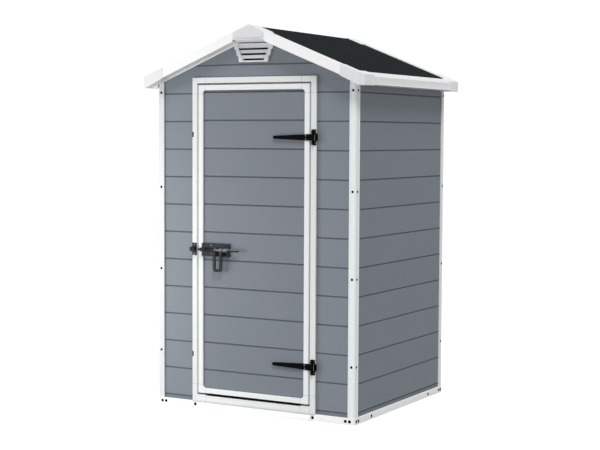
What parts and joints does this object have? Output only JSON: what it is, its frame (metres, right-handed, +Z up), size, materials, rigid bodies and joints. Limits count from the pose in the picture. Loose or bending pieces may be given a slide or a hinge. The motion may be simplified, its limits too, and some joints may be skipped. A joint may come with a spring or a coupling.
{
  "type": "plastic garden shed",
  "caption": "Small plastic garden shed with planked walls, white corner posts and trims, a gabled roof, and a hinged front door with strap hinges and a sliding bolt.",
  "frame": {"origin": "centre of the plan at ground level", "axes": "+Z up, front with the door towards -Y, +X to the right seen from the front"},
  "size_m": [1.286, 1.176, 1.966],
  "materials": {
    "wall_plastic": "blue-grey moulded plastic with a faint brushed wood texture",
    "white_plastic": "smooth white moulded plastic, satin",
    "roof_plastic": "charcoal moulded plastic, fine grain",
    "black_metal": "black powder-coated steel",
    "steel": "zinc-plated steel"
  },
  "bodies": {
    "shed": {"floor": "white_plastic", "base_front": "white_plastic", "base_rear": "white_plastic", "base_left": "white_plastic", "base_right": "white_plastic", "base_corners": "white_plastic", "post_front_left": "white_plastic", "post_front_right": "white_plastic", "post_rear_left": "white_plastic", "post_rear_right": "white_plastic", "front_wall_left": "wall_plastic", "front_wall_right": "wall_plastic", "front_gable": "wall_plastic", "left_wall": "wall_plastic", "right_wall": "wall_plastic", "rear_wall": "wall_plastic", "rear_gable": "wall_plastic", "front_vent": "white_plastic", "rear_vent": "white_plastic", "frame_left": "white_plastic", "frame_right": "white_plastic", "frame_head": "white_plastic", "frame_foot": "white_plastic", "door_sill": "white_plastic", "ridge_beam": "steel", "roof_left": "roof_plastic", "roof_right": "roof_plastic", "front_trim_left": "white_plastic", "front_trim_right": "white_plastic", "rear_trim_left": "white_plastic", "rear_trim_right": "white_plastic", "eave_trim_left": "white_plastic", "eave_trim_right": "white_plastic", "corner_caps": "white_plastic", "front_peak_cap": "white_plastic", "rear_peak_cap": "white_plastic", "hinge_plates": "black_metal", "hinge_pins": "steel", "bolt_keeper": "black_metal"},
    "door": {"door_rim": "white_plastic", "door_panel": "wall_plastic", "hinge_straps": "black_metal", "bolt_plate": "black_metal", "bolt_guides": "black_metal"},
    "bolt": {"bolt_rod": "black_metal"},
    "hasp": {"bolt_hasp": "black_metal"}
  },
  "joints": [
    {"name": "door_hinge", "type": "hinge", "parent": "shed", "child": "door", "pos_m": [0.3515, -0.545, 0.835], "axis": [0, 0, 1], "range_deg": [0, 110]},
    {"name": "bolt_slide", "type": "slide", "parent": "door", "child": "bolt", "axis": [-1, 0, 0], "range_m": [0, 0.035]},
    {"name": "hasp_swing", "type": "hinge", "parent": "bolt", "child": "hasp", "pos_m": [-0.1985, -0.554, 0.828], "axis": [-1, 0, 0], "range_deg": [0, 160]}
  ]
}
